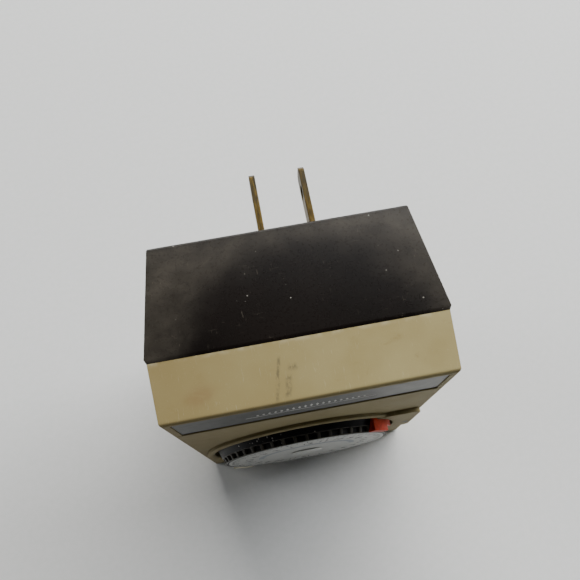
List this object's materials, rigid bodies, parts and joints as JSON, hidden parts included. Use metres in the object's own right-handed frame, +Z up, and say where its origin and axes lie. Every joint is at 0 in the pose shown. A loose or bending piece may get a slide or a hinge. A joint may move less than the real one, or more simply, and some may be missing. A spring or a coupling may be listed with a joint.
{
  "type": "plug-in timer",
  "caption": "Plug-in mechanical day timer: black and cream housing with flat blades, front dial with trippers, geared motor, snap switch and a receptacle underneath.",
  "frame": {"origin": "on the surface that the timer stands on, under the middle of its overall box, blades included", "axes": "+Z up, +X to the right as seen from the dial, +Y out of the back along the blades"},
  "size_m": [0.0676, 0.0648, 0.0929],
  "materials": {
    "cream_plastic": "moulded, satin, slightly yellowed",
    "black_plastic": "moulded, semi-gloss with handling haze",
    "dial_black": "gloss moulded black",
    "name_metal": "brushed, dark grey",
    "face_metal": "spun, satin",
    "orange_plastic": "moulded, satin orange",
    "ivory_plastic": "moulded, satin ivory",
    "blade_brass": "tarnished",
    "brass": "bright",
    "bronze": "spring bronze",
    "zinc_steel": "zinc plated",
    "dark_steel": "oiled steel",
    "silver": "silver contact",
    "nylon": "natural nylon",
    "phenolic": "brown moulded",
    "copper": "enamelled copper winding",
    "black_wire": "insulated wire",
    "white_wire": "insulated wire",
    "red_wire": "insulated wire"
  },
  "bodies": {
    "housing": {"front_housing": "cream_plastic", "rear_cover": "black_plastic", "nameplate": "name_metal", "rating_label": "face_metal", "line_blade": "blade_brass", "neutral_blade": "blade_brass", "line_contact": "brass", "neutral_contact": "brass", "fixed_terminal": "brass", "leaf_terminal": "brass", "detent_rivet": "brass", "base_rivets": "brass", "detent_spring": "bronze", "chassis_plate": "zinc_steel", "housing_screws": "zinc_steel", "motor_screws": "zinc_steel", "motor_spacers": "zinc_steel", "dial_arbor": "zinc_steel", "idler_stud": "zinc_steel", "lever_pin": "zinc_steel", "gearcase": "zinc_steel", "stator": "dark_steel", "arbor_clip": "dark_steel", "idler_clip": "dark_steel", "lever_clip": "dark_steel", "fixed_contact": "silver", "receptacle_insert": "phenolic", "switch_base": "phenolic", "bobbin": "phenolic", "coil": "copper", "line_wire": "black_wire", "load_wire": "black_wire", "neutral_wire": "white_wire", "motor_leads": "red_wire"},
    "gear_wheel": {"dial_gear": "nylon", "friction_washer": "bronze"},
    "dial": {"dial_drum": "dial_black", "dial_faceplate": "face_metal", "dial_cap": "face_metal", "gear_clip": "dark_steel"},
    "tripper_on": {"on_tripper": "orange_plastic"},
    "tripper_off": {"off_tripper": "ivory_plastic"},
    "idler": {"idler_gear": "nylon"},
    "pinion": {"motor_pinion": "brass"},
    "lever": {"switch_lever": "dial_black"},
    "leaf": {"contact_leaf": "bronze", "moving_contact": "silver"}
  },
  "joints": [
    {"name": "gear_turn", "type": "hinge", "parent": "housing", "child": "gear_wheel", "pos_m": [-0.00134, -0.0176, 0.03175], "axis": [0, 1, 0], "continuous": true},
    {"name": "dial_set", "type": "hinge", "parent": "gear_wheel", "child": "dial", "pos_m": [-0.00134, -0.0276, 0.03175], "axis": [0, 1, 0], "continuous": true},
    {"name": "on_tripper_slide", "type": "hinge", "parent": "dial", "child": "tripper_on", "pos_m": [-0.00134, -0.0276, 0.03175], "axis": [0, 1, 0], "range_deg": [-75, 75]},
    {"name": "off_tripper_slide", "type": "hinge", "parent": "dial", "child": "tripper_off", "pos_m": [-0.00134, -0.0276, 0.03175], "axis": [0, 1, 0], "range_deg": [-75, 75]},
    {"name": "idler_turn", "type": "hinge", "parent": "housing", "child": "idler", "pos_m": [0.01466, -0.0176, 0.05946], "axis": [0, 1, 0], "continuous": true},
    {"name": "pinion_turn", "type": "hinge", "parent": "housing", "child": "pinion", "pos_m": [0.00666, -0.0176, 0.06945], "axis": [0, 1, 0], "continuous": true},
    {"name": "switch_rock", "type": "hinge", "parent": "housing", "child": "lever", "pos_m": [0.0275, -0.0132, 0.03175], "axis": [1, 0, 0], "range_deg": [0, 20]},
    {"name": "contact_flex", "type": "hinge", "parent": "housing", "child": "leaf", "pos_m": [0.026, 0.0074, 0.0324], "axis": [1, 0, 0], "range_deg": [-7, 0]}
  ],
  "couplings": [
    {"joint": "idler_turn", "follows": "gear_turn", "ratio": -3},
    {"joint": "pinion_turn", "follows": "gear_turn", "ratio": 5},
    {"joint": "contact_flex", "follows": "switch_rock", "ratio": -0.35}
  ]
}
